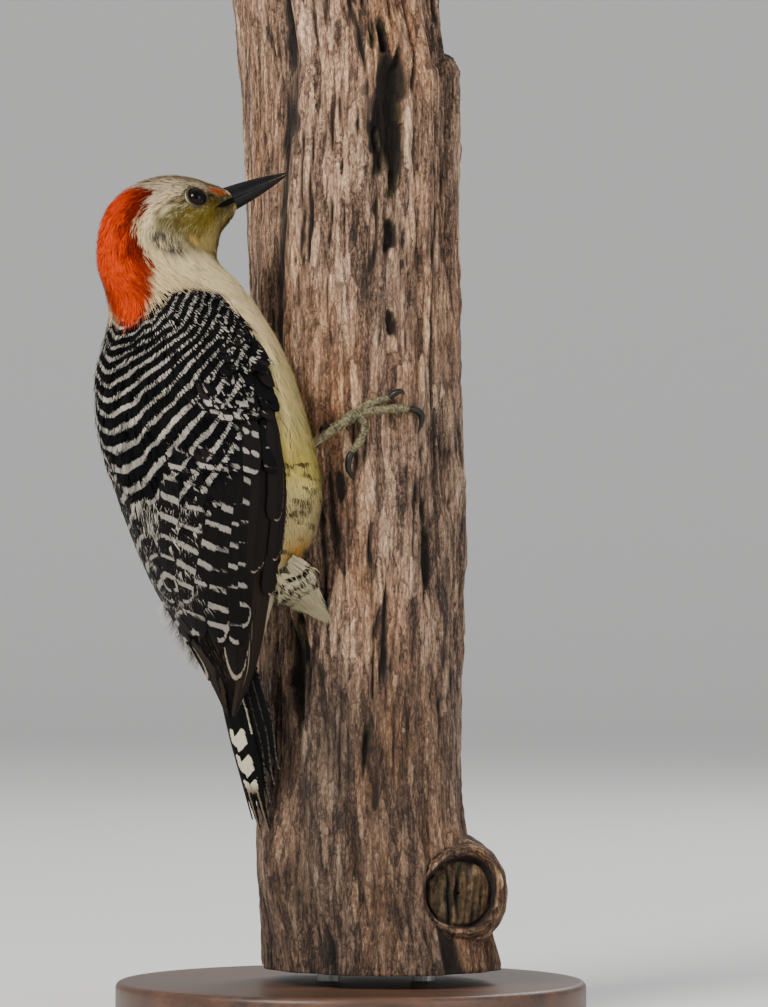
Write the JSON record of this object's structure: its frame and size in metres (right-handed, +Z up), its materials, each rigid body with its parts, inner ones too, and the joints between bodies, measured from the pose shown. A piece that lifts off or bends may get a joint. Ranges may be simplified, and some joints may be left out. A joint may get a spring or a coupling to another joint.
{
  "type": "woodpecker",
  "caption": "Life-size woodpecker clinging head up to a cut length of weathered trunk, tail propped on the wood, on a plain round display stand.",
  "frame": {"origin": "centre of the stand base's underside", "axes": "+Z up along the trunk, +X to the right and +Y away as seen from the bird's right side, which is the picture's view"},
  "size_m": [0.1562, 0.1558, 0.33],
  "materials": {
    "head_feathers": "soft short feathers, grey crown, orange-red nape, buff face",
    "neck_feathers": "soft feathers, orange-red behind and buff in front",
    "barred_feathers": "soft feathers barred black and cream above, buff and olive yellow below",
    "wing_feathers": "firm black feathers with white bars and spots",
    "tail_feathers": "stiff pointed feathers, black outside and barred white in the middle",
    "belly_feathers": "long loose feathers, olive yellow with black chevrons",
    "foot_scales": "grey-olive scaly skin",
    "claw_horn": "smooth dark horn",
    "bill_horn": "smooth slate-black horn",
    "eye": "wet dark brown",
    "weathered_wood": "barkless, grey-brown, fissured along the grain",
    "stand_board": "dark stained board, satin",
    "stand_steel": "plain rod"
  },
  "bodies": {
    "root": {"bill_lower": "bill_horn", "bill_upper": "bill_horn", "claw_hind_left": "claw_horn", "claw_hind_right": "claw_horn", "claw_inner_left": "claw_horn", "claw_inner_right": "claw_horn", "claw_middle_left": "claw_horn", "claw_middle_right": "claw_horn", "claw_outer_left": "claw_horn", "claw_outer_right": "claw_horn", "eye_left": "eye", "eye_right": "eye", "flank_left": "belly_feathers", "flank_right": "belly_feathers", "foot_left": "foot_scales", "foot_right": "foot_scales", "head": "head_feathers", "neck": "neck_feathers", "perch": "weathered_wood", "stand_base": "stand_board", "stand_rod_1": "stand_steel", "stand_rod_2": "stand_steel", "tail": "tail_feathers", "thigh_left": "belly_feathers", "thigh_right": "belly_feathers", "torso": "barred_feathers", "wing_left": "wing_feathers", "wing_right": "wing_feathers"}
  },
  "joints": []
}
